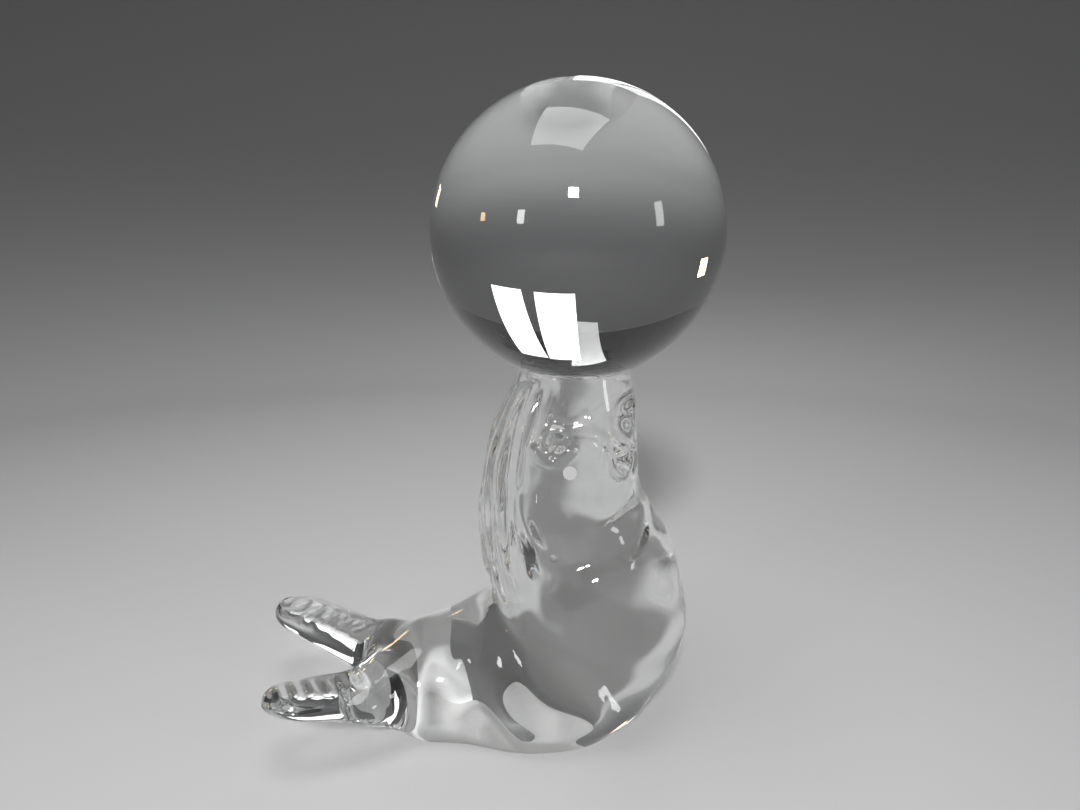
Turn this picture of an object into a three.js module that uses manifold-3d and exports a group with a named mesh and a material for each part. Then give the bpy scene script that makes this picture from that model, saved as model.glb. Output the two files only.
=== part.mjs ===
// Seal figurine balancing a ball on its nose: solid clear crystal, worked hot and ground flat below.
// Millimetres, +Z up. The chest faces +X and the tail points to -X.
// Lengths along X are measured from the upright axis of the ball until the whole is centred at the end.
import * as THREE from "three";
import { ParametricGeometry } from "three/addons/geometries/ParametricGeometry.js";
import { mergeVertices } from "three/addons/utils/BufferGeometryUtils.js";
import Module from "manifold-3d";

const wasm = await Module();
wasm.setup();

// Width of the fused seams between the pieces
const SEAM_GAP = 0.3;

// Ball, polished round
const BALL_DIAMETER = 62;

// Neck: height of the nose's rim, and the outline from the crook behind the neck up to that rim
const NOSE_HEIGHT = 83.4;
const CROOK_X = -18.7;
const CROOK_HEIGHT = 31.3;
const NECK = [
  { share: 0.14, back: -20.4, chest: 24.3 },
  { share: 0.28, back: -21.2, chest: 21.1 },
  { share: 0.44, back: -21.4, chest: 16.4 },
  { share: 0.59, back: -20.6, chest: 13.7 },
  { share: 0.73, back: -18.8, chest: 13.2 },
  { share: 0.87, back: -15.5, chest: 13.2 },
  { share: 1.0, back: -12.0, chest: 11.7 },
];
const NOSE_ENTRY = 6;

// Haunch: the belly's outline round the heel that the body rests on, from under the tail to the belly
const HAUNCH = [
  { x: -9, z: -9.0, halfWidth: 20.0 },
  { x: 2, z: -7.2, halfWidth: 20.5 },
  { x: 11.5, z: -0.8, halfWidth: 20.5 },
  { x: 19.3, z: 8.4, halfWidth: 21.0 },
  { x: 24.3, z: 18.0, halfWidth: 22.0 },
  { x: 26.0, z: 27.5, halfWidth: 22.5 },
];

// Waist: the pinched line that runs from the crook round both flanks up to the chest
const WAIST_X = 15;
const WAIST_HEIGHT = 57;
const WAIST_DEPTH = 1.5;
const WAIST_REACH = 4.5;

// Tail: its stem from the rounded end between the flippers to the haunch
const TAIL_END_X = -49;
const TAIL_ROOT_X = -21;
const TAIL = [
  { share: 0.15, middle: 10.8, halfHeight: 8.0, halfWidth: 19 },
  { share: 0.4, middle: 10.2, halfHeight: 12.0, halfWidth: 15.5 },
  { share: 0.6, middle: 8.8, halfHeight: 15.0, halfWidth: 14.5 },
  { share: 1.0, middle: 11.0, halfHeight: 19.5, halfWidth: 17 },
];

// Hind flippers: two crimped tongues set into the end of the tail, from where they spread
const RIGHT_FLIPPER_LENGTH = 26.6;
const LEFT_FLIPPER_LENGTH = 36;
const FLIPPER_SETTING = 6;
const FLIPPER_ROOT_WIDTH = 19;
const FLIPPER_TIP_WIDTH = 14;
const FLIPPER_ROOT_THICKNESS = 9;
const FLIPPER_TIP_THICKNESS = 4.6;
const FLIPPER_ROUNDING = 8;
const CRIMP_COUNT = 8;
const CRIMP_DEPTH = 0.7;
const CRIMP_REACH = 3;
const FLIPPERS = [
  { name: "right_hind_flipper", length: RIGHT_FLIPPER_LENGTH, rootY: -10, spread: -26, lift: 10.5 },
  { name: "left_hind_flipper", length: LEFT_FLIPPER_LENGTH, rootY: 6.5, spread: 24.5, lift: 11.5 },
];

// Face, turned towards -Y: pressed eye pits, the crease between them and a ground dot
const EYES = [
  { belowNose: 12.8, turn: -98 },
  { belowNose: 17.8, turn: -40 },
];
const EYE_RADIUS = 2.4;
const EYE_DEPTH = 1.6;
const CREASE_RISE = 1.5;
const CREASE_RADIUS = 2.2;
const CREASE_DEPTH = 0.6;
const DOT = { belowNose: 18.8, turn: -85 };
const DOT_DIAMETER = 3;
const DOT_DEPTH = 0.25;

// Fineness of the faceted surfaces
const BODY_SIDES = 48;
const STEPS_PER_STATION = 4;
const BALL_SIDES = 48;
const FLIPPER_SIDES = 20;
const FLIPPER_STEPS = 48;
const FACE_SIDES = 16;
const WELD = 1e-4;

const radians = THREE.MathUtils.degToRad;
const lerp = THREE.MathUtils.lerp;

// Geometry whose faces share their corners
function welded(geometry) {
  const bare = geometry.clone();
  bare.deleteAttribute("normal");
  bare.deleteAttribute("uv");
  return mergeVertices(bare, WELD);
}

// Closed solid from a geometry whose shared corners still have to be joined
function solid(geometry) {
  const joined = welded(geometry);
  const corners = Array.from(joined.index.array);
  const triangles = [];
  for (let i = 0; i < corners.length; i += 3) {
    const [a, b, c] = corners.slice(i, i + 3);
    if (a !== b && b !== c && c !== a) triangles.push(a, b, c);
  }
  return new wasm.Manifold(new wasm.Mesh({
    numProp: 3,
    vertProperties: new Float32Array(joined.attributes.position.array),
    triVerts: new Uint32Array(triangles),
  }));
}

function geometryOf(manifold) {
  const mesh = manifold.getMesh();
  const geometry = new THREE.BufferGeometry();
  geometry.setAttribute("position", new THREE.BufferAttribute(mesh.vertProperties, 3));
  geometry.setIndex(new THREE.BufferAttribute(mesh.triVerts, 1));
  geometry.computeVertexNormals();
  return geometry;
}

// Size of a section that closes in a round end, for a share 0 at the very end and 1 where it is full
const roundEnd = (share) => Math.sqrt(1 - (1 - THREE.MathUtils.clamp(share, 0, 1)) ** 2);

// Body: oval sections between a back rail and a belly rail, both in the upright plane of symmetry
function bodyStations() {
  const point = (x, z) => new THREE.Vector2(x, z);
  const tail = TAIL.map(({ share, middle, halfHeight, halfWidth }) => {
    const x = lerp(TAIL_END_X, TAIL_ROOT_X, share);
    return { back: point(x, middle + halfHeight), belly: point(x, middle - halfHeight), halfWidth };
  });
  const tailEnd = {
    back: point(TAIL_END_X, tail[0].back.y),
    belly: point(TAIL_END_X, tail[0].belly.y),
    halfWidth: tail[0].halfWidth,
  };
  const haunch = HAUNCH.map(({ x, z, halfWidth }) => {
    return { back: point(CROOK_X, CROOK_HEIGHT), belly: point(x, z), halfWidth };
  });
  const neck = NECK.map(({ share, back, chest }) => {
    const z = lerp(CROOK_HEIGHT, NOSE_HEIGHT, share);
    return { back: point(back, z), belly: point(chest, z), halfWidth: (chest - back) / 2 };
  });
  const rim = neck.at(-1);
  const noseEnd = {
    back: point(rim.back.x, NOSE_HEIGHT + NOSE_ENTRY),
    belly: point(rim.belly.x, NOSE_HEIGHT + NOSE_ENTRY),
    halfWidth: rim.halfWidth,
  };
  return [tailEnd, ...tail, ...haunch, ...neck, noseEnd];
}

const stations = bodyStations();
const intervals = stations.length - 1;
const backRail = new THREE.SplineCurve(stations.map((station) => station.back));
const bellyRail = new THREE.SplineCurve(stations.map((station) => station.belly));
const sideRail = new THREE.SplineCurve(stations.map(({ halfWidth }, i) => new THREE.Vector2(i, halfWidth)));

// How far the flanks are pinched in at a place in the upright plane of symmetry
const waistRun = new THREE.Vector2(WAIST_X - CROOK_X, WAIST_HEIGHT - CROOK_HEIGHT).normalize();
function waistPinch(x, z) {
  const fromCrook = new THREE.Vector2(x - CROOK_X, z - CROOK_HEIGHT);
  const start = THREE.MathUtils.smoothstep(waistRun.dot(fromCrook), 0, WAIST_REACH);
  return WAIST_DEPTH * start * Math.exp(-((waistRun.cross(fromCrook) / WAIST_REACH) ** 2));
}

// Point on the body's skin; turn 0 faces the belly side and 90 faces +Y
function bodyPoint(along, turn, target = new THREE.Vector3()) {
  const back = backRail.getPoint(along);
  const belly = bellyRail.getPoint(along);
  const middle = back.clone().lerp(belly, 0.5);
  const closing = roundEnd(along * intervals) * roundEnd((1 - along) * intervals);
  const { x, y: z } = middle.lerp(belly, closing * Math.cos(turn));
  const across = (sideRail.getPoint(along).y * closing - waistPinch(x, z)) * Math.sin(turn);
  return target.set(x, across, z);
}

const bodyBlank = new ParametricGeometry(
  (around, along, target) => bodyPoint(along, around * 2 * Math.PI, target),
  BODY_SIDES,
  intervals * STEPS_PER_STATION,
);

// Point on the neck's skin below the nose's rim, with the direction straight out of the neck there
function neckPoint({ belowNose, turn }) {
  let low = (stations.length - NECK.length - 1) / intervals;
  let high = 1;
  while (high - low > WELD) {
    const along = (low + high) / 2;
    if (backRail.getPoint(along).y < NOSE_HEIGHT - belowNose) low = along;
    else high = along;
  }
  const at = bodyPoint(low, radians(turn));
  const middle = bodyPoint(low, 0).lerp(bodyPoint(low, Math.PI), 0.5);
  return { at, out: at.clone().sub(middle).normalize() };
}

// Ball, seated so that its underside meets the rim of the nose
const noseRadius = stations.at(-2).halfWidth;
const ballDrop = (BALL_DIAMETER / 2) * Math.sqrt(1 - (noseRadius / (BALL_DIAMETER / 2)) ** 2);
const ballPlace = new THREE.Vector3(0, 0, NOSE_HEIGHT + SEAM_GAP + ballDrop);

function ballGeometry(grown) {
  const ball = new THREE.SphereGeometry(BALL_DIAMETER / 2 + grown, BALL_SIDES, BALL_SIDES / 2);
  return ball.rotateX(Math.PI / 2);
}

function eyePit(eye) {
  const { at, out } = neckPoint(eye);
  const pit = new THREE.SphereGeometry(EYE_RADIUS, FACE_SIDES, FACE_SIDES / 2);
  const centre = at.addScaledVector(out, EYE_RADIUS - EYE_DEPTH);
  return pit.translate(centre.x, centre.y, centre.z);
}

function muzzleCrease() {
  const [first, second] = EYES;
  const bow = {
    belowNose: Math.min(first.belowNose, second.belowNose) - CREASE_RISE,
    turn: (first.turn + second.turn) / 2,
  };
  const path = [first, bow, second].map((spot) => {
    const { at, out } = neckPoint(spot);
    return at.addScaledVector(out, CREASE_RADIUS - CREASE_DEPTH);
  });
  const groove = new THREE.Shape().absarc(0, 0, CREASE_RADIUS, 0, 2 * Math.PI);
  return new THREE.ExtrudeGeometry(groove, {
    extrudePath: new THREE.CatmullRomCurve3(path),
    steps: FACE_SIDES,
    curveSegments: FACE_SIDES / 2,
  });
}

function groundDot() {
  const { at, out } = neckPoint(DOT);
  const dot = new THREE.CylinderGeometry(DOT_DIAMETER / 2, DOT_DIAMETER / 2, 2 * DOT_DEPTH, FACE_SIDES);
  const upright = new THREE.Vector3(0, 1, 0);
  dot.applyQuaternion(new THREE.Quaternion().setFromUnitVectors(upright, out));
  return dot.translate(at.x, at.y, at.z);
}

function bodyGeometry() {
  const cup = ballGeometry(SEAM_GAP).translate(ballPlace.x, ballPlace.y, ballPlace.z);
  const ground = new THREE.BoxGeometry(2 * NOSE_HEIGHT, 2 * NOSE_HEIGHT, NOSE_HEIGHT);
  ground.translate(0, 0, -NOSE_HEIGHT / 2);
  const cuts = [ground, cup, ...EYES.map(eyePit), muzzleCrease(), groundDot()];
  return geometryOf(cuts.reduce((body, cut) => body.subtract(solid(cut)), solid(bodyBlank)));
}

// Hind flipper along its own X from the root: a flat tongue with short crimps along the middle of its top
function flipperGeometry({ length }) {
  const point = (around, along, target) => {
    const reach = along * length;
    const closing = roundEnd(reach / FLIPPER_ROUNDING) * roundEnd((length - reach) / FLIPPER_ROUNDING);
    const width = lerp(FLIPPER_ROOT_WIDTH, FLIPPER_TIP_WIDTH, along) * closing;
    const thickness = lerp(FLIPPER_ROOT_THICKNESS, FLIPPER_TIP_THICKNESS, along) * Math.sqrt(closing);
    const across = -Math.sin(around * 2 * Math.PI) * width / 2;
    const upward = Math.cos(around * 2 * Math.PI) * thickness / 2;
    const crimp = (CRIMP_DEPTH / 2) * (1 - Math.cos(2 * Math.PI * CRIMP_COUNT * along));
    const pressed = upward > 0 ? crimp * closing * Math.exp(-((across / CRIMP_REACH) ** 2)) : 0;
    target.set(reach, across, upward - pressed);
  };
  return new ParametricGeometry(point, FLIPPER_SIDES, FLIPPER_STEPS);
}

// The tail's skin moved out by the seam, which trims the root of a flipper
function tailTrim() {
  const trim = welded(bodyBlank);
  trim.computeVertexNormals();
  const position = trim.attributes.position;
  const normal = trim.attributes.normal;
  for (let i = 0; i < position.count; i += 1) {
    const at = new THREE.Vector3().fromBufferAttribute(position, i);
    at.addScaledVector(new THREE.Vector3().fromBufferAttribute(normal, i), SEAM_GAP);
    position.setXYZ(i, at.x, at.y, at.z);
  }
  return trim;
}

function crystal() {
  return new THREE.MeshStandardMaterial({
    color: 0xf3f6f7,
    roughness: 0.03,
    metalness: 0,
    transparent: true,
    opacity: 0.35,
  });
}

function piece(name, geometry) {
  const mesh = new THREE.Mesh(geometry, crystal());
  mesh.name = name;
  return mesh;
}

const seal = new THREE.Group();
seal.add(piece("body", bodyGeometry()));

const ball = piece("ball", ballGeometry(0));
ball.position.copy(ballPlace);
seal.add(ball);

for (const flipper of FLIPPERS) {
  const place = new THREE.Object3D();
  place.position.set(TAIL_END_X + FLIPPER_SETTING, flipper.rootY, TAIL[0].middle);
  place.rotation.set(0, radians(-flipper.lift), radians(180 - flipper.spread), "ZYX");
  place.updateMatrix();
  const blank = flipperGeometry(flipper).applyMatrix4(place.matrix);
  seal.add(piece(flipper.name, geometryOf(solid(blank).subtract(solid(tailTrim())))));
}

// The origin lies on the base plane, under the middle of the whole figure
seal.updateMatrixWorld(true);
const middle = new THREE.Box3().setFromObject(seal).getCenter(new THREE.Vector3());
seal.position.set(-middle.x, -middle.y, 0);

export default seal;
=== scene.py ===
"""Crystal seal with a ball on its nose, as an add-on: fine meshes, clear crystal and a studio."""

import math

import bmesh
import bpy
import numpy as np
from bpy.props import FloatProperty, FloatVectorProperty, IntProperty, PointerProperty
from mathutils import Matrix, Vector
from mathutils.bvhtree import BVHTree


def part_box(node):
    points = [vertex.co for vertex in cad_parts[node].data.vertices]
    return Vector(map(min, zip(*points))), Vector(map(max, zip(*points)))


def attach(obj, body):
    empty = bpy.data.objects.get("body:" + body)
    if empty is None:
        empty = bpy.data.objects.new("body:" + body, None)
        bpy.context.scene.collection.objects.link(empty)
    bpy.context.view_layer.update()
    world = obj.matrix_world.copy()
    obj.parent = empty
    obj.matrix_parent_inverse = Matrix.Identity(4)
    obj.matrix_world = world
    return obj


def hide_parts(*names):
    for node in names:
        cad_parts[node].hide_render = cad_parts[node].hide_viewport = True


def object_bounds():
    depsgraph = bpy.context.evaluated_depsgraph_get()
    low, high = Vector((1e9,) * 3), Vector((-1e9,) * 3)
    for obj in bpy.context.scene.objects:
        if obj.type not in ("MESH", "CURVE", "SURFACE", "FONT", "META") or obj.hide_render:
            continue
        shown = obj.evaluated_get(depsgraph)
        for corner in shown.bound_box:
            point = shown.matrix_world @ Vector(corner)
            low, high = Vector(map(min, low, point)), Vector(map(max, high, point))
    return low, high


bl_info = {
    "name": "Crystal Seal",
    "version": (1, 0, 0),
    "blender": (4, 5, 0),
    "location": "View3D > Sidebar > Crystal Seal",
    "description": "Makes a solid crystal seal that balances a ball on its nose, and its studio",
    "category": "Add Mesh",
}

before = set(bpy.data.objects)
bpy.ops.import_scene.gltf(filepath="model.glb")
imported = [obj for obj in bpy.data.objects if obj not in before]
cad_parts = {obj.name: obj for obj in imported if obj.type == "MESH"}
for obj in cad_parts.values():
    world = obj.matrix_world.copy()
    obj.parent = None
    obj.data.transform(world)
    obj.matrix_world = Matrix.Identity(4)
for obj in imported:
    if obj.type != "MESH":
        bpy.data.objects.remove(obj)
CAD_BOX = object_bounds()
MM = 0.001

# Ball, whose upright axis is the zero of the lengths along X below
BALL_LOW, BALL_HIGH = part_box("ball")
BALL_MIDDLE = (BALL_LOW + BALL_HIGH) / 2
BALL_SIZE = BALL_HIGH - BALL_LOW

# Nose and crook in millimetres: height of the nose's rim, and place of the crook behind
NOSE_HEIGHT = 83.4
CROOK_X = -18.7
CROOK_HEIGHT = 31.3

# Neck from the crook up to the rim: share of the height, then X of back and chest in millimetres
NECK = [
    (0.14, -20.4, 24.3),
    (0.28, -21.2, 21.1),
    (0.44, -21.4, 16.4),
    (0.59, -20.6, 13.7),
    (0.73, -18.8, 13.2),
    (0.87, -15.5, 13.2),
    (1.0, -12.0, 11.7),
]

# Rails of the body: how far they run on past the rim in millimetres, and steps between two knots
NOSE_ENTRY = 6
RAIL_STEPS = 64

# Haunch in millimetres: X, height and half width of the belly line round the heel
HAUNCH = [
    (-9, -9.0, 20.0),
    (2, -7.2, 20.5),
    (11.5, -0.8, 20.5),
    (19.3, 8.4, 21.0),
    (24.3, 18.0, 22.0),
    (26.0, 27.5, 22.5),
]

# Tail in millimetres: share of its length, middle height, half height and half width
TAIL_END_X = -49
TAIL_ROOT_X = -21
TAIL = [
    (0.15, 10.8, 8.0, 19),
    (0.4, 10.2, 12.0, 15.5),
    (0.6, 8.8, 15.0, 14.5),
    (1.0, 11.0, 19.5, 17),
]

# Flippers: name, length and root's offset across in millimetres, spread and lift in degrees
FLIPPERS = [
    ("right_hind_flipper", 26.6, -10, -26, 10.5),
    ("left_hind_flipper", 36, 6.5, 24.5, 11.5),
]

# Points round and along a flipper, and splits of the ball's twenty faces
FLIPPER_GRID = (97, 181)
BALL_SPLITS = 7

# Melting: how often a point is moved onto the melted skin, and the flattest slope that it follows
MELT_STEPS = 4
LEAST_SLOPE = 0.3

# Face: how far below the nose's rim in millimetres, and the turn in degrees from the chest
EYES = [(12.8, -98), (17.8, -40)]
DOT = (18.8, -85)

# Eyes: power of the pit's bowl, and the lip's middle and width as shares of the eye's radius
EYE_BOWL = 1.5
LIP_MIDDLE = 1.15
LIP_WIDTH = 0.3

# Folds of the face: start, middle and end as above, then height and half width in millimetres
FOLDS = [
    ("brow", (12.8, -98), (11.3, -69), (17.8, -40), -0.6, 1.2),
    ("near lid", (14.6, -113), (17.0, -99), (14.2, -85), 0.6, 1.1),
    ("far lid", (15.5, -55), (20.9, -43), (18.5, -27), 0.6, 1.1),
    ("muzzle", (8.3, -104), (9.1, -92), (7.5, -79), -0.5, 1.0),
    ("chin", (24.4, -123), (36.9, -88), (25.8, -5), -0.6, 2.2),
]

# Points along a fold
FOLD_POINTS = 48

# Painted reflection of the white base, as a matt white patch up the far side of the tail: X of its
# middle in millimetres, and power of its arch
PAINTED_REFLECTION_X = -30.75
PAINTED_REFLECTION_ARCH = 4

# How white the ground crystal of the dot is, and that of the base and of the painted reflection of the
# base up the tail's far side
DOT_WHITE = 0.35
BASE_AND_PAINTED_REFLECTION_WHITE = 0.95

# Faces inside fused glass bend no light
JOINT_IOR = 1.0

# Sockets of a Mix node for colours: the two that go in and the one that comes out
COLOUR_A, COLOUR_B, COLOUR_OUT = 6, 7, 2

# Waist in millimetres: the place on the chest that the pinched line from the crook runs to
WAIST_X = 15
WAIST_HEIGHT = 57

# Hip in millimetres: X and height where the fold between haunch and tail starts, bows and ends
HIP = [(CROOK_X, CROOK_HEIGHT), (-22.4, 18), (-12.5, 3)]

# Flutes: lengths in millimetres over which they rise above the crook and fade below the nose,
# how far round the back they start and are full, and their twist in radians per millimetre
FLUTE_RISE = 12
NOSE_FADE = 8
FLUTE_BACK = (-0.2, 0.7)
FLUTE_TWIST = 0.06

# Uneven flutes: share, count round the neck and twist of what deepens some of them
FLUTE_BEAT = (0.6, 5, -0.11)

# Slow waves of the skin: radians per millimetre along X, Y and Z, and phase
WAVES = [
    (0.23, 0, 0.31, 0),
    (0, 0.21, -0.13, 0.7),
    (-0.29, 0.19, 0.17, 0),
]

# Studio lamps: place and size in metres, spread of the beam in degrees, watts and colour
LAMPS = [
    ("overhead", (-0.05, -0.1, 0.75), (0.4, 0.4), 180, 2.0, (1, 1, 1)),
    ("key", (-0.05, -0.75, 0.52), (0.1, 0.1), 80, 1.8, (1, 1, 1)),
    ("left pane", (0.08, 0.47, 0.34), (0.085, 0.26), 180, 0.14, (1, 1, 1)),
    ("right pane", (0.18, 0.45, 0.34), (0.085, 0.26), 180, 0.14, (1, 1, 1)),
    ("front left", (-0.405, -0.45, 0.23), (0.06, 0.1), 180, 0.25, (1, 1, 1)),
    ("front right", (0.547, -0.316, 0.24), (0.07, 0.16), 180, 0.25, (1, 1, 1)),
    ("warm left", (-0.49, -0.14, 0.2), (0.035, 0.045), 50, 0.006, (1, 0.66, 0.3)),
    ("warm back", (-0.3, 0.4, 0.2), (0.05, 0.05), 50, 0.006, (1, 0.72, 0.4)),
]

# Studio: steps up its cove and sides all round
COVE_STEPS = 33
SWEEP_SIDES = 128

# Camera: its place from the foot of the ball's axis and the width of its sensor in millimetres,
# and the nearest distance that it sees in metres
CAMERA = (-7.84, -177.4, 112.9)
SENSOR_WIDTH = 36
NEAREST_SEEN = 0.01

# Light paths: bounces through glass and off shine
GLASS_BOUNCES = 32
SHINE_BOUNCES = 12

# Edges that bend more than this many degrees stay crisp
CRISP_ANGLE = 48


class Wire:
    """One socket of a node tree; arithmetic on it adds Math nodes."""

    def __init__(self, board, socket):
        self.board = board
        self.socket = socket

    def out(self, name):
        """Another output of the same node."""
        return Wire(self.board, self.socket.node.outputs[name])

    def __add__(self, other):
        return self.board.maths("ADD", self, other)

    def __sub__(self, other):
        return self.board.maths("SUBTRACT", self, other)

    def __rsub__(self, other):
        return self.board.maths("SUBTRACT", other, self)

    def __mul__(self, other):
        return self.board.maths("MULTIPLY", self, other)

    def __truediv__(self, other):
        return self.board.maths("DIVIDE", self, other)

    def __pow__(self, other):
        return self.board.maths("POWER", self, other)

    __radd__ = __add__
    __rmul__ = __mul__


class Board:
    """A node tree, with a method that adds any node and short ways to the common ones."""

    def __init__(self, tree):
        self.tree = tree

    def node(self, kind, settings=None, inputs=None, output=0):
        node = self.tree.nodes.new(kind)
        for name, value in (settings or {}).items():
            setattr(node, name, value)
        for name, value in (inputs or {}).items():
            if isinstance(value, Wire):
                self.tree.links.new(value.socket, node.inputs[name])
            else:
                node.inputs[name].default_value = value
        return Wire(self, node.outputs[output]) if node.outputs else node

    def maths(self, operation, *values):
        return self.node("ShaderNodeMath", {"operation": operation}, dict(enumerate(values)))

    def vector(self, operation, *values, output="Vector"):
        inputs = dict(enumerate(values))
        return self.node("ShaderNodeVectorMath", {"operation": operation}, inputs, output)

    def own_place(self):
        """Where a point lies in its piece's own coordinates."""
        return self.node("ShaderNodeTexCoord", output="Object")

    def noise(self, place, scale, detail):
        inputs = {"Vector": place, "Scale": scale, "Detail": detail}
        return self.node("ShaderNodeTexNoise", None, inputs)

    def bump(self, height, strength, distance):
        inputs = {"Strength": strength, "Distance": distance, "Height": height}
        return self.node("ShaderNodeBump", None, inputs)

    def mixed_colour(self, share, first, second):
        """A colour that goes from the first to the second as the share goes from 0 to 1."""
        inputs = {"Factor": share, COLOUR_A: (*first, 1.0), COLOUR_B: (*second, 1.0)}
        return self.node("ShaderNodeMix", {"data_type": "RGBA"}, inputs, COLOUR_OUT)

    def mixed_shader(self, share, first, second):
        return self.node("ShaderNodeMixShader", None, {"Fac": share, 1: first, 2: second})

    def surface(self, shader):
        """Ends a material's tree."""
        self.node("ShaderNodeOutputMaterial", None, {"Surface": shader})


def geometry_board(name, sockets):
    """A Geometry Nodes tree with named inputs, its board and a function that gives an input's wire."""
    tree = bpy.data.node_groups.new(name, "GeometryNodeTree")
    for label, kind in sockets.items():
        tree.interface.new_socket(label, in_out="INPUT", socket_type=kind)
    tree.interface.new_socket("Geometry", in_out="OUTPUT", socket_type="NodeSocketGeometry")
    board = Board(tree)
    entry = board.node("NodeGroupInput")
    return board, entry.out


def finish_board(board, geometry, material):
    """Ends a tree in smooth, realized geometry with its material."""
    smooth = board.node("GeometryNodeSetShadeSmooth", None, {"Geometry": geometry})
    real = board.node("GeometryNodeRealizeInstances", None, {"Geometry": smooth})
    dressed = board.node("GeometryNodeSetMaterial", None, {"Geometry": real, "Material": material})
    board.node("NodeGroupOutput", None, {"Geometry": dressed})


def made_by_nodes(name, board, values):
    """Runs a tree on a new object and keeps the result as its plain mesh."""
    piece = new_piece(name, bpy.data.meshes.new(name))
    modifier = piece.modifiers.new("Making", "NODES")
    modifier.node_group = board.tree
    for item in board.tree.interface.items_tree:
        if item.name in values:
            modifier[item.identifier] = values[item.name]
    graph = bpy.context.evaluated_depsgraph_get()
    mesh = bpy.data.meshes.new_from_object(piece.evaluated_get(graph))
    piece.modifiers.remove(modifier)
    mesh.materials.clear()
    mesh.materials.append(values["Material"])
    mesh.polygons.foreach_set("material_index", [0] * len(mesh.polygons))
    piece.data = mesh
    return piece


def new_piece(name, mesh):
    piece = bpy.data.objects.new(name, mesh)
    bpy.context.scene.collection.objects.link(piece)
    return piece


def settle(piece, node):
    """Lets the piece stand for its CAD node."""
    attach(piece, "root")
    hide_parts(node)


def blank_material(name):
    """A material without nodes, and its board."""
    material = bpy.data.materials.new(name)
    material.use_nodes = True
    material.node_tree.nodes.clear()
    return material, Board(material.node_tree)


def clear_crystal(board, place, ior=None):
    """Fire-polished crystal: clear, with faint cords, ripples and finger-dulled patches."""
    props = bpy.context.scene.crystal_seal.crystal
    dull = board.noise(place, scale=90.0, detail=3.0)
    ripple = board.noise(place, scale=55.0, detail=1.0)
    cords = board.noise(place, scale=30.0, detail=2.0)
    paler_tint = [0.5 + 0.5 * channel for channel in props.tint]
    return board.node("ShaderNodeBsdfPrincipled", None, {
        "Base Color": board.mixed_colour(cords, props.tint, paler_tint),
        "Roughness": props.polish + props.dulling * dull ** 4,
        "IOR": ior or props.ior,
        "Transmission Weight": 1.0,
        "Normal": board.bump(ripple, strength=0.1, distance=0.4 * MM),
    })


def ground_and_painted_reflection_crystal(board, place, white):
    """Matt white crystal, rough and hardly clear: ground on the dot and the base, and a painted
    reflection of the base on the tail's far side.
    """
    props = bpy.context.scene.crystal_seal.crystal
    grit = board.noise(place, scale=2500.0, detail=2.0)
    return board.node("ShaderNodeBsdfPrincipled", None, {
        "Base Color": (white, white, white, 1.0),
        "Roughness": 0.55 + 0.2 * grit,
        "IOR": props.ior,
        "Transmission Weight": 0.1,
        "Normal": board.bump(grit, strength=0.3, distance=0.1 * MM),
    })


def crystal(name, ior=None):
    """Clear crystal all over."""
    material, board = blank_material(name)
    board.surface(clear_crystal(board, board.own_place(), ior))
    return material


def mark_share(board, inside, edge):
    """Share of a ground mark: 0 outside it and 1 inside it, with a soft edge."""
    return board.maths("MAXIMUM", board.maths("MINIMUM", inside / edge, 1.0), 0.0)


def body_crystal(name, dot, band):
    """Clear crystal with a ground dot on the cheek, and a matt white patch up the tail's far side that
    is a painted reflection of the white base seen through the tail.
    """
    props = bpy.context.scene.crystal_seal.crystal
    material, board = blank_material(name)
    place = board.own_place()
    in_dot = props.dot_radius - board.vector("DISTANCE", place, dot, output="Value")
    at = board.node("ShaderNodeSeparateXYZ", None, {"Vector": place})
    # Painted reflection: an arched matt white patch on the tail's far side, standing in for the white
    # base seen through the tail
    half_width = props.painted_reflection_width / 2
    aside = board.maths("ABSOLUTE", at.out("X") - band) / half_width
    upward = at.out("Z") / props.painted_reflection_height
    arch = (aside ** PAINTED_REFLECTION_ARCH + upward ** PAINTED_REFLECTION_ARCH) ** (1 / PAINTED_REFLECTION_ARCH)
    in_painted_reflection = board.maths("MINIMUM", (1 - arch) * half_width, at.out("Y"))
    spot = mark_share(board, in_dot, props.ground_edge)
    painted_reflection_share = mark_share(board, in_painted_reflection, props.ground_edge)
    dotted = board.mixed_shader(
        spot, clear_crystal(board, place), ground_and_painted_reflection_crystal(board, place, DOT_WHITE))
    board.surface(board.mixed_shader(painted_reflection_share, dotted, ground_and_painted_reflection_crystal(board, place, BASE_AND_PAINTED_REFLECTION_WHITE)))
    return material


def ground_base(name):
    """The matt underside that the figure stands on."""
    material, board = blank_material(name)
    board.surface(ground_and_painted_reflection_crystal(board, board.own_place(), BASE_AND_PAINTED_REFLECTION_WHITE))
    return material


def flowing(knots, ease):
    """Samples a line through knots one unit apart, eased so that no bend starts hard."""
    knots = np.asarray(knots, float)
    last = len(knots) - 1
    at = np.linspace(0, last, last * RAIL_STEPS + 1)
    first = np.minimum(at.astype(int), last - 1)
    share = (at - first)[:, None]
    before, start, end, after = (knots[np.clip(first + k, 0, last)] for k in (-1, 0, 1, 2))
    leave = (end - before) / 2
    arrive = (after - start) / 2
    cubic = 2 * start - 2 * end + leave + arrive
    square = 3 * end - 3 * start - 2 * leave - arrive
    line = ((cubic * share + square) * share + leave) * share + start
    spread = ease * RAIL_STEPS
    reach = int(3 * spread)
    weights = np.exp(-0.5 * (np.arange(-reach, reach + 1) / spread) ** 2)
    weights /= weights.sum()
    padded = np.pad(line, ((reach, reach), (0, 0)), "reflect", reflect_type="odd")
    eased = [np.convolve(column, weights, "valid") for column in padded.T]
    return at, np.array(eased)


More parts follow.
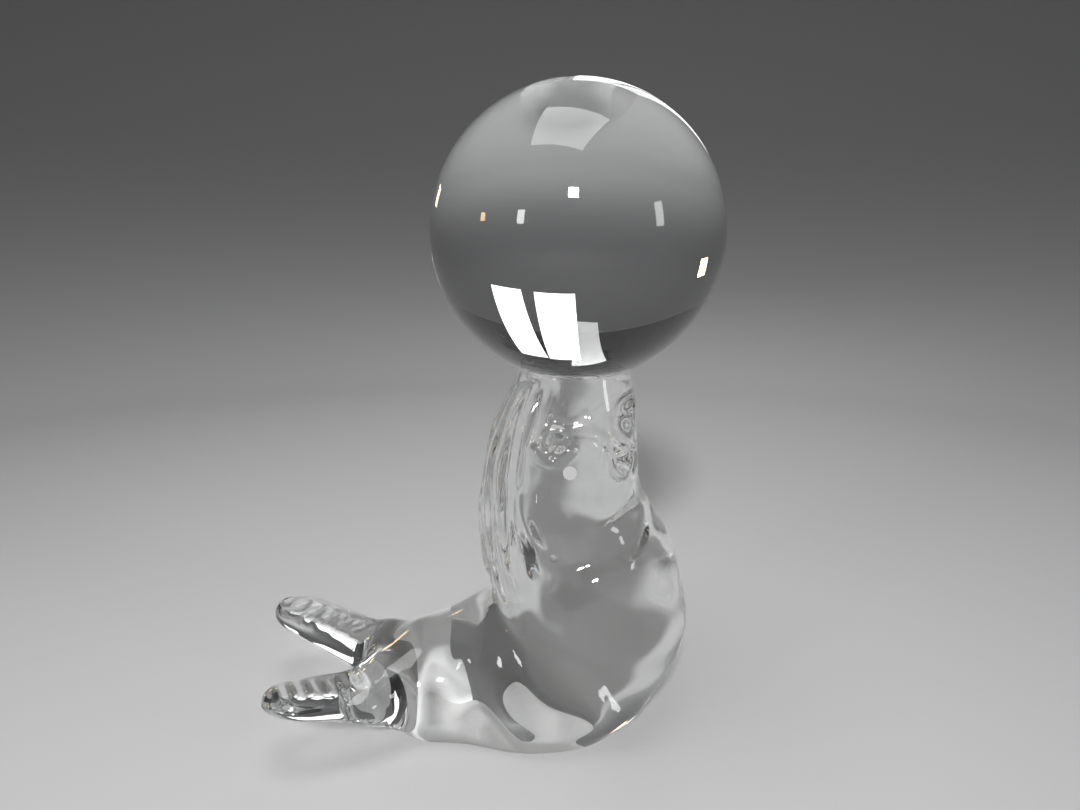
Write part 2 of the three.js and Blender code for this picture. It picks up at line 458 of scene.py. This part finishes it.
def body_knots():
    """Back X and height, belly X and height, and half width, from the tail's end up to the nose."""
    tail = []
    for share, middle, half_height, half_width in TAIL:
        x = TAIL_END_X + share * (TAIL_ROOT_X - TAIL_END_X)
        tail.append((x, middle + half_height, x, middle - half_height, half_width))
    tail_end = (TAIL_END_X, tail[0][1], TAIL_END_X, tail[0][3], tail[0][4])
    haunch = [(CROOK_X, CROOK_HEIGHT, x, z, half_width) for x, z, half_width in HAUNCH]
    neck = []
    for share, back, chest in NECK:
        z = CROOK_HEIGHT + share * (NOSE_HEIGHT - CROOK_HEIGHT)
        neck.append((back, z, chest, z, (chest - back) / 2))
    back, z, chest, _, half_width = neck[-1]
    nose_end = (back, z + NOSE_ENTRY, chest, z + NOSE_ENTRY, half_width)
    return [tail_end, *tail, *haunch, *neck, nose_end]


def ball_underside(x, y):
    """Height of the ball's underside over a place in its own X and Y, in millimetres."""
    radius = BALL_SIZE.x / 2 / MM
    drop = np.sqrt(1 - (x ** 2 + y ** 2) / radius ** 2)
    return BALL_MIDDLE.z / MM - BALL_SIZE.z / 2 / MM * drop


def body_skin(props):
    """Rings from the tail's end to the nose's rim, in millimetres from the ball's axis."""
    knots = body_knots()
    rim = len(knots) - 2
    crook = rim - len(NECK)
    at, flow = flowing(knots, props.ease)
    rings = np.concatenate([
        1 - np.cos(np.linspace(0, math.pi / 2, props.end_rings)),
        np.linspace(1, crook, props.trunk_rings)[1:],
        np.linspace(crook, rim, props.neck_rings)[1:],
    ])
    back_x, back_z, belly_x, belly_z, side = (np.interp(rings, at, row) for row in flow)
    closing = np.sqrt(1 - (1 - np.minimum(rings, 1)) ** 2)
    turn = np.linspace(0, 2 * math.pi, props.sides, endpoint=False)
    toward = np.outer(closing, np.cos(turn))
    x = (back_x + belly_x)[:, None] / 2 + (belly_x - back_x)[:, None] / 2 * toward
    y = side[:, None] * np.outer(closing, np.sin(turn))
    z = (back_z + belly_z)[:, None] / 2 + (belly_z - back_z)[:, None] / 2 * toward
    return np.stack([x, y, z], 2)


def outward(skin):
    """Unit normals of a ringed skin."""
    along = np.gradient(skin, axis=0)
    around = np.roll(skin, -1, 1) - np.roll(skin, 1, 1)
    normal = np.cross(around, along)
    length = np.linalg.norm(normal, axis=2, keepdims=True)
    return normal / np.maximum(length, 1e-9)


def face_point(skin, spot):
    """The skin's point below the nose's rim at a turn from the chest."""
    below, turn = spot
    neck = skin[len(skin) // 2:]
    ring = np.interp(NOSE_HEIGHT - below, neck[:, 0, 2], np.arange(len(neck)))
    column = turn / 360 * skin.shape[1]
    first_ring, first_column = int(ring), math.floor(column)
    corners = neck[first_ring:first_ring + 2][:, [first_column, first_column + 1]]
    up, along = ring - first_ring, column - first_column
    low, high = corners[:, 0] + along * (corners[:, 1] - corners[:, 0])
    return low + up * (high - low)


def bowed(start, middle, end):
    """Places along a line that bows through its middle."""
    start, middle, end = np.array([start, middle, end], float)
    share = np.linspace(0, 1, FOLD_POINTS)[:, None]
    bow = middle - (start + end) / 2
    return start + share * (end - start) + 4 * share * (1 - share) * bow


def from_line(places, line):
    """Distance of each place from the nearest point of a line."""
    return np.min([np.linalg.norm(places - point, axis=2) for point in line], 0)


def press_face(skin, props):
    """Presses the eye pits and the folds of the face into the skin."""
    height = np.zeros(skin.shape[:2])
    radius = props.eye_radius / MM
    for eye in EYES:
        distance = np.linalg.norm(skin - face_point(skin, eye), axis=2) / radius
        height -= props.eye_depth / MM * np.clip(1 - distance ** 2, 0, 1) ** EYE_BOWL
        height += props.eye_lip / MM * np.exp(-((distance - LIP_MIDDLE) / LIP_WIDTH) ** 2)
    for _, *spots, rise, half_width in FOLDS:
        line = [face_point(skin, spot) for spot in bowed(*spots)]
        height += rise * np.exp(-(from_line(skin, line) / half_width) ** 2)
    return skin + outward(skin) * height[:, :, None]


def smooth_step(low, high, value):
    """Goes softly from 0 at the low value to 1 at the high one."""
    share = np.clip((value - low) / (high - low), 0, 1)
    return share * share * (3 - 2 * share)


def work_by_hand(skin, props):
    """Adds what the tools left: a pinched waist and hip, flutes down the neck's back and slow waves."""
    x, y, z = np.moveaxis(skin, 2, 0)
    turn = np.linspace(0, 2 * math.pi, skin.shape[1], endpoint=False)
    run = np.array([WAIST_X - CROOK_X, WAIST_HEIGHT - CROOK_HEIGHT])
    run /= np.linalg.norm(run)
    from_crook = (x - CROOK_X) * run[0] + (z - CROOK_HEIGHT) * run[1]
    off_waist = (z - CROOK_HEIGHT) * run[0] - (x - CROOK_X) * run[1]
    reach = props.waist_reach / MM
    pinch = smooth_step(0, reach, from_crook) * np.exp(-(off_waist / reach) ** 2)
    hip = np.exp(-(from_line(skin[:, :, ::2], bowed(*HIP)) / (props.hip_reach / MM)) ** 2)
    height = -np.abs(np.sin(turn)) * (props.waist_depth / MM * pinch + props.hip_depth / MM * hip)
    below_nose = smooth_step(NOSE_HEIGHT, NOSE_HEIGHT - NOSE_FADE, z)
    neck = smooth_step(CROOK_HEIGHT, CROOK_HEIGHT + FLUTE_RISE, z) * below_nose
    behind = smooth_step(*FLUTE_BACK, -np.cos(turn))
    share, count, twist = FLUTE_BEAT
    beat = 1 + share * np.cos(count * turn + twist * z)
    flutes = np.cos(props.flutes * turn + FLUTE_TWIST * z) * beat
    height += props.flute_depth / MM * neck * behind * flutes
    swell, cross, drift = (np.sin(a * x + b * y + c * z + phase) for a, b, c, phase in WAVES)
    height += props.wave_depth / MM * (swell * cross + drift) * below_nose
    return skin + outward(skin) * height[:, :, None]


def cup_rings(rim, props):
    """Rings that close the nose along the ball's underside, a film's gap below it."""
    middle = rim[:, :2].mean(0)
    rings = []
    for share in np.linspace(1, 0, props.cup_rings, endpoint=False):
        flat = middle + share * (rim[:, :2] - middle)
        rings.append(np.column_stack([flat, ball_underside(*flat.T) - props.film / MM]))
    tip = np.array([*middle, ball_underside(*middle) - props.film / MM])
    return rings, tip


def ringed_mesh(name, rings, start, end):
    """A closed mesh of rings between two end points."""
    count, sides, _ = rings.shape
    points = np.vstack([start, rings.reshape(-1, 3), end])
    index = 1 + np.arange(count * sides).reshape(count, sides)
    beside = np.roll(index, -1, 1)
    quads = np.stack([index[:-1], beside[:-1], beside[1:], index[1:]], 2).reshape(-1, 4).tolist()
    fans = [(0, b, a) for a, b in zip(index[0], beside[0])]
    fans += [(len(points) - 1, a, b) for a, b in zip(index[-1], beside[-1])]
    mesh = bpy.data.meshes.new(name)
    mesh.from_pydata(points.tolist(), [], quads + fans)
    return mesh


def grind_flat(mesh):
    """Cuts the mesh off at the base plane and closes it with one face of the second material."""
    shell = bmesh.new()
    shell.from_mesh(mesh)
    for face in shell.faces:
        face.smooth = True
    bmesh.ops.bisect_plane(
        shell,
        geom=[*shell.verts, *shell.edges, *shell.faces],
        dist=1e-7,
        plane_co=(0, 0, 0),
        plane_no=(0, 0, 1),
        clear_inner=True,
    )
    edges = [edge for edge in shell.edges if edge.is_boundary]
    for face in bmesh.ops.holes_fill(shell, edges=edges)["faces"]:
        face.material_index = 1
        face.smooth = False
    shell.to_mesh(mesh)
    shell.free()


class SealBodyProps(bpy.types.PropertyGroup):
    """Sizes of the body's finish."""

    sides: IntProperty(name="Sides", description="Points round each ring", default=208)
    end_rings: IntProperty(
        name="End rings", description="Rings over the tail's round end",
        default=36)
    trunk_rings: IntProperty(
        name="Trunk rings", description="Rings from tail to crook",
        default=190)
    neck_rings: IntProperty(name="Neck rings", description="Rings from crook to nose", default=180)
    cup_rings: IntProperty(
        name="Cup rings", description="Rings over the cup under the ball",
        default=24)
    ease: FloatProperty(
        name="Ease", description="Softening of the rails, in stations",
        default=0.42)
    film: FloatProperty(
        name="Film", description="Gap between the nose's cup and the ball",
        default=0.1 * MM, unit="LENGTH", precision=5)
    eye_radius: FloatProperty(
        name="Eye radius", description="Radius of an eye pit",
        default=2.4 * MM, unit="LENGTH", precision=5)
    eye_depth: FloatProperty(
        name="Eye depth", description="Depth of an eye pit",
        default=1.7 * MM, unit="LENGTH", precision=5)
    eye_lip: FloatProperty(
        name="Eye lip", description="Swell round an eye pit",
        default=0.35 * MM, unit="LENGTH", precision=5)
    waist_depth: FloatProperty(
        name="Waist depth", description="Depth of the pinched waist",
        default=1.5 * MM, unit="LENGTH", precision=5)
    waist_reach: FloatProperty(
        name="Waist reach", description="Half width of the waist",
        default=4.5 * MM, unit="LENGTH", precision=5)
    hip_depth: FloatProperty(
        name="Hip depth", description="Depth of the hip's fold",
        default=0.8 * MM, unit="LENGTH", precision=5)
    hip_reach: FloatProperty(
        name="Hip reach", description="Half width of the hip's fold",
        default=2.6 * MM, unit="LENGTH", precision=5)
    flutes: IntProperty(
        name="Flutes", description="Flutes round the neck, of which the back shows",
        default=22)
    flute_depth: FloatProperty(
        name="Flute depth", description="Depth of the flutes",
        default=0.3 * MM, unit="LENGTH", precision=5)
    wave_depth: FloatProperty(
        name="Wave depth", description="Depth of the slow waves",
        default=0.25 * MM, unit="LENGTH", precision=5)


class SealFlipperProps(bpy.types.PropertyGroup):
    """Sizes of the hind flippers."""

    setting: FloatProperty(
        name="Setting", description="Depth of the root in the tail",
        default=6 * MM, unit="LENGTH", precision=5)
    root_width: FloatProperty(
        name="Root width", description="Width at the root",
        default=19 * MM, unit="LENGTH", precision=5)
    tip_width: FloatProperty(
        name="Tip width", description="Width at the tip",
        default=14 * MM, unit="LENGTH", precision=5)
    root_thickness: FloatProperty(
        name="Root thickness", description="Thickness at the root",
        default=9 * MM, unit="LENGTH", precision=5)
    tip_thickness: FloatProperty(
        name="Tip thickness", description="Thickness at the tip",
        default=4.6 * MM, unit="LENGTH", precision=5)
    rounding: FloatProperty(
        name="Rounding", description="Length of the round ends",
        default=8 * MM, unit="LENGTH", precision=5)
    crimps: IntProperty(name="Crimps", description="Crimp marks on top", default=8)
    crimp_depth: FloatProperty(
        name="Crimp depth", description="Depth of a crimp mark",
        default=0.7 * MM, unit="LENGTH", precision=5)
    crimp_reach: FloatProperty(
        name="Crimp reach", description="Half length of a crimp mark",
        default=3 * MM, unit="LENGTH", precision=5)
    melting: FloatProperty(
        name="Melting", description="How far the joint to the tail is rounded",
        default=5 * MM, unit="LENGTH", precision=5)


class SealCrystalProps(bpy.types.PropertyGroup):
    """Finish of the crystal."""

    tint: FloatVectorProperty(
        name="Tint", description="Faint tint of the crystal",
        default=(0.97, 0.985, 0.98), subtype="COLOR")
    ior: FloatProperty(
        name="Refraction", description="Index of refraction of lead crystal",
        default=1.545)
    polish: FloatProperty(name="Polish", description="Roughness of clean skin", default=0.004)
    dulling: FloatProperty(
        name="Dulling", description="Roughness added on handled skin",
        default=0.08)
    dot_radius: FloatProperty(
        name="Dot radius", description="Radius of the matt dot",
        default=1.5 * MM, unit="LENGTH", precision=5)
    # Size of the painted reflection of the base, a matt white patch up the tail's far side
    painted_reflection_width: FloatProperty(
        name="Painted reflection width", description="Width of the painted reflection of the base",
        default=14.5 * MM, unit="LENGTH", precision=5)
    painted_reflection_height: FloatProperty(
        name="Painted reflection height", description="Top of the painted reflection of the base",
        default=18 * MM, unit="LENGTH", precision=5)
    ground_edge: FloatProperty(
        name="Ground edge", description="Soft edge of ground marks",
        default=0.15 * MM, unit="LENGTH", precision=5)


class SealStageProps(bpy.types.PropertyGroup):
    """Floor, light and camera."""

    floor_colour: FloatVectorProperty(
        name="Floor", description="Colour of the floor",
        default=(0.5, 0.5, 0.505), subtype="COLOR")
    wall_colour: FloatVectorProperty(
        name="Wall", description="Colour of the wall round the floor",
        default=(0.2, 0.2, 0.205), subtype="COLOR")
    floor_drop: FloatProperty(
        name="Floor drop", description="Hair's gap under the base",
        default=0.1 * MM, unit="LENGTH", precision=5)
    cove_start: FloatProperty(
        name="Cove start", description="Where the floor starts to rise",
        default=0.42, unit="LENGTH")
    cove_radius: FloatProperty(
        name="Cove radius", description="Radius of the cove",
        default=0.4, unit="LENGTH")
    wall_height: FloatProperty(
        name="Wall height", description="Top of the wall round the floor",
        default=0.5, unit="LENGTH")
    world_level: FloatProperty(
        name="Room", description="Level of the room's own light",
        default=0.02)
    lens: FloatProperty(name="Lens", description="Focal length in millimetres", default=27.333)
    tilt: FloatProperty(
        name="Tilt", description="Camera's tilt down",
        default=math.radians(12), subtype="ANGLE")


class SealProps(bpy.types.PropertyGroup):
    """All settings of the crystal seal."""

    body: PointerProperty(type=SealBodyProps)
    flippers: PointerProperty(type=SealFlipperProps)
    crystal: PointerProperty(type=SealCrystalProps)
    stage: PointerProperty(type=SealStageProps)


class SEAL_OT_body(bpy.types.Operator):
    """Lofts the bent body, presses its face and grinds its base flat"""

    bl_idname = "seal.body"
    bl_label = "Seal body"

    def execute(self, context):
        props = context.scene.crystal_seal.body
        skin = press_face(work_by_hand(body_skin(props), props), props)
        cup, tip = cup_rings(skin[-1], props)
        rings = np.concatenate([skin[1:-1], np.array(cup)])
        axis = np.array([BALL_MIDDLE.x, BALL_MIDDLE.y, 0])
        mesh = ringed_mesh("seal_body", rings * MM + axis, skin[0, 0] * MM + axis, tip * MM + axis)
        grind_flat(mesh)
        piece = new_piece("seal_body", mesh)
        dot = face_point(skin, DOT) * MM + axis
        # Middle of the painted reflection of the base, a matt white patch on the tail's far side
        band = axis[0].item() + PAINTED_REFLECTION_X * MM
        mesh.materials.append(body_crystal("body crystal", dot.tolist(), band))
        mesh.materials.append(ground_base("ground base"))
        piece.cycles.is_caustics_caster = True
        piece.cycles.is_caustics_receiver = True
        settle(piece, "body")
        return {"FINISHED"}


class SEAL_OT_ball(bpy.types.Operator):
    """Makes the polished ball"""

    bl_idname = "seal.ball"
    bl_label = "Ball"

    def execute(self, context):
        board, entry = geometry_board("Polished ball", {
            "Size": "NodeSocketVector",
            "Middle": "NodeSocketVector",
            "Material": "NodeSocketMaterial",
        })
        sphere = board.node("GeometryNodeMeshIcoSphere", None, {
            "Radius": 0.5, "Subdivisions": BALL_SPLITS})
        at = board.node("GeometryNodeInputPosition")
        placed = board.vector("ADD", board.vector("MULTIPLY", at, entry("Size")), entry("Middle"))
        shaped = board.node("GeometryNodeSetPosition", None, {"Geometry": sphere, "Position": placed})
        finish_board(board, shaped, entry("Material"))
        piece = made_by_nodes("ball_on_nose", board, {
            "Size": BALL_SIZE,
            "Middle": BALL_MIDDLE,
            "Material": crystal("ball crystal"),
        })
        piece.cycles.is_caustics_caster = True
        settle(piece, "ball")
        return {"FINISHED"}


def round_end(board, share):
    """Size of a section in a round end, from a share of 0 at the very end to 1 where it is full."""
    left = 1 - board.maths("MINIMUM", share, 1.0)
    return (1 - left * left) ** 0.5


def flipper_board():
    """Tree of one hind flipper: a flat tongue along X, crimped across its top, then put in place."""
    board, entry = geometry_board("Hind flipper", {
        "Length": "NodeSocketFloat",
        "Root Width": "NodeSocketFloat",
        "Tip Width": "NodeSocketFloat",
        "Root Thickness": "NodeSocketFloat",
        "Tip Thickness": "NodeSocketFloat",
        "Rounding": "NodeSocketFloat",
        "Crimps": "NodeSocketInt",
        "Crimp Depth": "NodeSocketFloat",
        "Crimp Reach": "NodeSocketFloat",
        "Root": "NodeSocketVector",
        "Turn": "NodeSocketVector",
        "Material": "NodeSocketMaterial",
    })
    round_it, along_it = FLIPPER_GRID
    grid = board.node("GeometryNodeMeshGrid", None, {
        "Size X": 1.0, "Size Y": 1.0, "Vertices X": round_it, "Vertices Y": along_it})
    at = board.node("ShaderNodeSeparateXYZ", None, {"Vector": board.node("GeometryNodeInputPosition")})
    around = (at.out("X") + 0.5) * (2 * math.pi)
    along = 0.5 - 0.5 * board.maths("COSINE", (at.out("Y") + 0.5) * math.pi)
    reach = along * entry("Length")
    root_end = round_end(board, reach / entry("Rounding"))
    tip_end = round_end(board, (entry("Length") - reach) / entry("Rounding"))
    closing = root_end * tip_end
    upward = board.maths("COSINE", around)
    across = board.maths("SINE", around) * -1.0
    width = entry("Root Width") + along * (entry("Tip Width") - entry("Root Width"))
    thickness = entry("Root Thickness") + along * (entry("Tip Thickness") - entry("Root Thickness"))
    aside = across * width * closing * 0.5
    wave = 0.5 - 0.5 * board.maths("COSINE", along * entry("Crimps") * (2 * math.pi))
    stretch = board.maths("EXPONENT", (aside / entry("Crimp Reach")) ** 2 * -1.0)
    pressed = entry("Crimp Depth") * wave * stretch * closing * board.maths("MAXIMUM", upward, 0.0)
    shape = board.node("ShaderNodeCombineXYZ", None, {
        "X": reach, "Y": aside, "Z": upward * thickness * closing ** 0.5 * 0.5 - pressed})
    tongue = board.node("GeometryNodeSetPosition", None, {"Geometry": grid, "Position": shape})
    closed = board.node("GeometryNodeMergeByDistance", None, {"Geometry": tongue, "Distance": 1e-6})
    placed = board.node("GeometryNodeTransform", None, {
        "Geometry": closed, "Translation": entry("Root"), "Rotation": entry("Turn")})
    finish_board(board, placed, entry("Material"))
    return board


class SEAL_OT_flippers(bpy.types.Operator):
    """Draws out the two crimped hind flippers and roots them on the tail"""

    bl_idname = "seal.flippers"
    bl_label = "Hind flippers"

    def execute(self, context):
        props = context.scene.crystal_seal.flippers
        material = crystal("flipper crystal")
        board = flipper_board()
        for node, length, root_y, spread, lift in FLIPPERS:
            root_x = BALL_MIDDLE.x + TAIL_END_X * MM + props.setting
            piece = made_by_nodes(f"crimped_{node}", board, {
                "Length": length * MM,
                "Root Width": props.root_width,
                "Tip Width": props.tip_width,
                "Root Thickness": props.root_thickness,
                "Tip Thickness": props.tip_thickness,
                "Rounding": props.rounding,
                "Crimps": props.crimps,
                "Crimp Depth": props.crimp_depth,
                "Crimp Reach": props.crimp_reach,
                "Root": (root_x, root_y * MM, TAIL[0][1] * MM),
                "Turn": (0, -math.radians(lift), math.radians(180 - spread)),
                "Material": material,
            })
            settle(piece, node)
        return {"FINISHED"}


def from_skin(tree, place):
    """Signed distance of a place from a closed skin, and the direction away from it."""
    nearest, normal, _, _ = tree.find_nearest(place)
    gap = (place - nearest).dot(normal)
    return gap, normal


def melted(place, trees, reach):
    """The place moved onto the skin that the solids have once their joint has melted together."""
    for _ in range(MELT_STEPS):
        gap, away = from_skin(trees[0], place)
        for tree in trees[1:]:
            other, other_away = from_skin(tree, place)
            share = min(max(0.5 + 0.5 * (other - gap) / reach, 0), 1)
            gap = other + share * (gap - other) - reach * share * (1 - share)
            away = other_away.lerp(away, share)
        place = place - away * (gap / max(away.length_squared, LEAST_SLOPE))
    return place


def joined_skin(pieces):
    """One skin round all pieces, with no walls where they meet."""
    whole = new_piece("whole", pieces[0].data.copy())
    for piece in pieces[1:]:
        joint = whole.modifiers.new(piece.name, "BOOLEAN")
        joint.operation = "UNION"
        joint.solver = "MANIFOLD"
        joint.material_mode = "TRANSFER"
        joint.object = piece
    graph = bpy.context.evaluated_depsgraph_get()
    mesh = bpy.data.meshes.new_from_object(whole.evaluated_get(graph))
    bpy.data.objects.remove(whole)
    return mesh


def close_joints(mesh, joint):
    """Closes a mesh where it was fused to its neighbours, with faces inside the glass."""
    shell = bmesh.new()
    shell.from_mesh(mesh)
    edges = [edge for edge in shell.edges if edge.is_boundary]
    walls = bmesh.ops.holes_fill(shell, edges=edges)["faces"]
    for wall in walls:
        if not all(edge.is_contiguous for edge in wall.edges):
            wall.normal_flip()
    for face in bmesh.ops.triangulate(shell, faces=walls)["faces"]:
        face.material_index = len(mesh.materials)
        face.smooth = False
    shell.to_mesh(mesh)
    shell.free()
    mesh.materials.append(joint)


def share_out(skin, piece, faces, joint):
    """Gives a piece its own faces of the joined skin, with the normals that they have there."""
    points = {}
    corners = [[points.setdefault(corner, len(points)) for corner in face.vertices] for face in faces]
    mesh = bpy.data.meshes.new(piece.name)
    mesh.from_pydata([skin.vertices[point].co for point in points], [], corners)
    for material in piece.data.materials:
        mesh.materials.append(material)
    names = [material.name for material in skin.materials]
    slots = {names.index(material.name): slot for slot, material in enumerate(mesh.materials)}
    mesh.polygons.foreach_set("material_index", [slots[face.material_index] for face in faces])
    mesh.shade_smooth()
    close_joints(mesh, joint)
    normals = [skin.corner_normals[loop].vector for face in faces for loop in face.loop_indices]
    normals += [(0, 0, 0)] * (len(mesh.loops) - len(normals))
    mesh.normals_split_custom_set(normals)
    piece.data = mesh


class SEAL_OT_fuse(bpy.types.Operator):
    """Fuses the flippers to the body, as hot glass does"""

    bl_idname = "seal.fuse"
    bl_label = "Fuse"

    def execute(self, context):
        body = bpy.data.objects["seal_body"]
        flippers = [bpy.data.objects[f"crimped_{node}"] for node, *_ in FLIPPERS]
        pieces = [body, *flippers]
        skin = joined_skin(pieces)
        reach = context.scene.crystal_seal.flippers.melting
        graph = context.evaluated_depsgraph_get()
        trees = [BVHTree.FromObject(piece, graph) for piece in pieces]
        for vertex in skin.vertices:
            near = [tree for tree in trees if tree.find_nearest(vertex.co, reach)[0]]
            if len(near) > 1:
                vertex.co = melted(vertex.co, near, reach)
        owners = {material.name: body for material in body.data.materials}
        shares = {piece: [] for piece in pieces}
        skin.shade_smooth()
        for face in skin.polygons:
            name = skin.materials[face.material_index].name
            shares[owners.get(name) or flippers[face.center.y > 0]].append(face)
            face.use_smooth = name != "ground base"
        skin.set_sharp_from_angle(angle=math.radians(CRISP_ANGLE))
        joint = crystal("fused joint", JOINT_IOR)
        for piece, faces in shares.items():
            share_out(skin, piece, faces, joint)
        return {"FINISHED"}


def sweep_material(props):
    """Paper of the studio: a pale floor that darkens up the wall, so that light edges show on glass."""
    material, board = blank_material("studio paper")
    place = board.own_place()
    grain = board.noise(place, scale=400.0, detail=2.0)
    wall = props.cove_start + props.cove_radius
    rise = board.node("ShaderNodeMapRange", {"interpolation_type": "SMOOTHSTEP"}, {
        "Value": board.vector("LENGTH", place, output="Value"),
        "From Min": wall / 2,
        "From Max": wall,
    })
    board.surface(board.node("ShaderNodeBsdfPrincipled", None, {
        "Base Color": board.mixed_colour(rise, props.floor_colour, props.wall_colour),
        "Roughness": 0.8 + 0.15 * grain,
        "Specular IOR Level": 0.2,
    }))
    return material


def sweep_mesh(props):
    """Round floor, cove and wall of the studio, all round the figure and open above."""
    lean = np.append(np.linspace(0, math.pi / 2, COVE_STEPS), math.pi / 2)
    radius = props.cove_start + props.cove_radius * np.sin(lean)
    height = props.cove_radius * (1 - np.cos(lean))
    height[-1] = props.wall_height
    turn = np.linspace(0, 2 * math.pi, SWEEP_SIDES, endpoint=False)
    points = np.stack([
        np.outer(radius, np.cos(turn)),
        np.outer(radius, np.sin(turn)),
        np.outer(height, np.ones_like(turn)),
    ], 2)
    index = np.arange(points[:, :, 0].size).reshape(len(radius), len(turn))
    beside = np.roll(index, -1, 1)
    wall = np.stack([index[:-1], index[1:], beside[1:], beside[:-1]], 2).reshape(-1, 4)
    mesh = bpy.data.meshes.new("studio_sweep")
    mesh.from_pydata(points.reshape(-1, 3).tolist(), [], [index[0].tolist(), *wall.tolist()])
    mesh.shade_smooth()
    mesh.materials.append(sweep_material(props))
    return mesh


def soft_box(name, place, size, spread, power, colour):
    """A rectangular studio lamp that faces the figure and that the camera itself doesn't see."""
    lamp = bpy.data.lights.new(name, "AREA")
    lamp.shape = "RECTANGLE"
    lamp.size, lamp.size_y = size
    lamp.spread = math.radians(spread)
    lamp.energy = power
    lamp.color = colour
    holder = bpy.data.objects.new(name, lamp)
    bpy.context.scene.collection.objects.link(holder)
    holder.location = place
    aim = Vector((0, 0, CAD_BOX[1][2] / 2)) - holder.location
    holder.rotation_euler = aim.to_track_quat("-Z", "Y").to_euler()
    holder.visible_camera = False


class SEAL_OT_stage(bpy.types.Operator):
    """Sets the round studio, the room's light, the soft lamps and the camera"""

    bl_idname = "seal.stage"
    bl_label = "Stage"

    def execute(self, context):
        scene = context.scene
        props = scene.crystal_seal.stage
        scene.view_settings.view_transform = "Standard"
        scene.cycles.max_bounces = GLASS_BOUNCES
        scene.cycles.transmission_bounces = GLASS_BOUNCES
        scene.cycles.glossy_bounces = SHINE_BOUNCES

        sweep = new_piece("studio_sweep", sweep_mesh(props))
        sweep.location.z = -props.floor_drop
        sweep.cycles.is_caustics_receiver = True

        world = bpy.data.worlds.new("room")
        world.use_nodes = True
        world.node_tree.nodes.clear()
        board = Board(world.node_tree)
        room = board.node("ShaderNodeBackground", None, {
            "Color": (1, 1, 1, 1), "Strength": props.world_level})
        board.node("ShaderNodeOutputWorld", None, {"Surface": room})
        scene.world = world

        for lamp in LAMPS:
            soft_box(*lamp)
        bpy.data.lights["key"].cycles.is_caustics_light = True

        camera = bpy.data.cameras.new("camera")
        camera.lens = props.lens
        camera.sensor_width = SENSOR_WIDTH
        camera.clip_start = NEAREST_SEEN
        holder = bpy.data.objects.new("camera", camera)
        scene.collection.objects.link(holder)
        holder.location = Vector((BALL_MIDDLE.x, 0, 0)) + Vector(CAMERA) * MM
        holder.rotation_euler = (math.radians(90) - props.tilt, 0, 0)
        scene.camera = holder
        return {"FINISHED"}


class SEAL_PT_sidebar(bpy.types.Panel):
    """Lists the steps of the crystal seal"""

    bl_idname = "SEAL_PT_sidebar"
    bl_label = "Crystal Seal"
    bl_space_type = "VIEW_3D"
    bl_region_type = "UI"
    bl_category = "Crystal Seal"

    def draw(self, context):
        for operator in OPERATORS:
            self.layout.operator(operator.bl_idname)


OPERATORS = (SEAL_OT_body, SEAL_OT_ball, SEAL_OT_flippers, SEAL_OT_fuse, SEAL_OT_stage)
CLASSES = (
    SealBodyProps,
    SealFlipperProps,
    SealCrystalProps,
    SealStageProps,
    SealProps,
    *OPERATORS,
    SEAL_PT_sidebar,
)


def register():
    for item in CLASSES:
        bpy.utils.register_class(item)
    bpy.types.Scene.crystal_seal = PointerProperty(type=SealProps)


def unregister():
    del bpy.types.Scene.crystal_seal
    for item in reversed(CLASSES):
        bpy.utils.unregister_class(item)


def main():
    register()
    bpy.ops.seal.stage()
    bpy.ops.seal.body()
    bpy.ops.seal.ball()
    bpy.ops.seal.flippers()
    bpy.ops.seal.fuse()


if __name__ == "__main__":
    main()
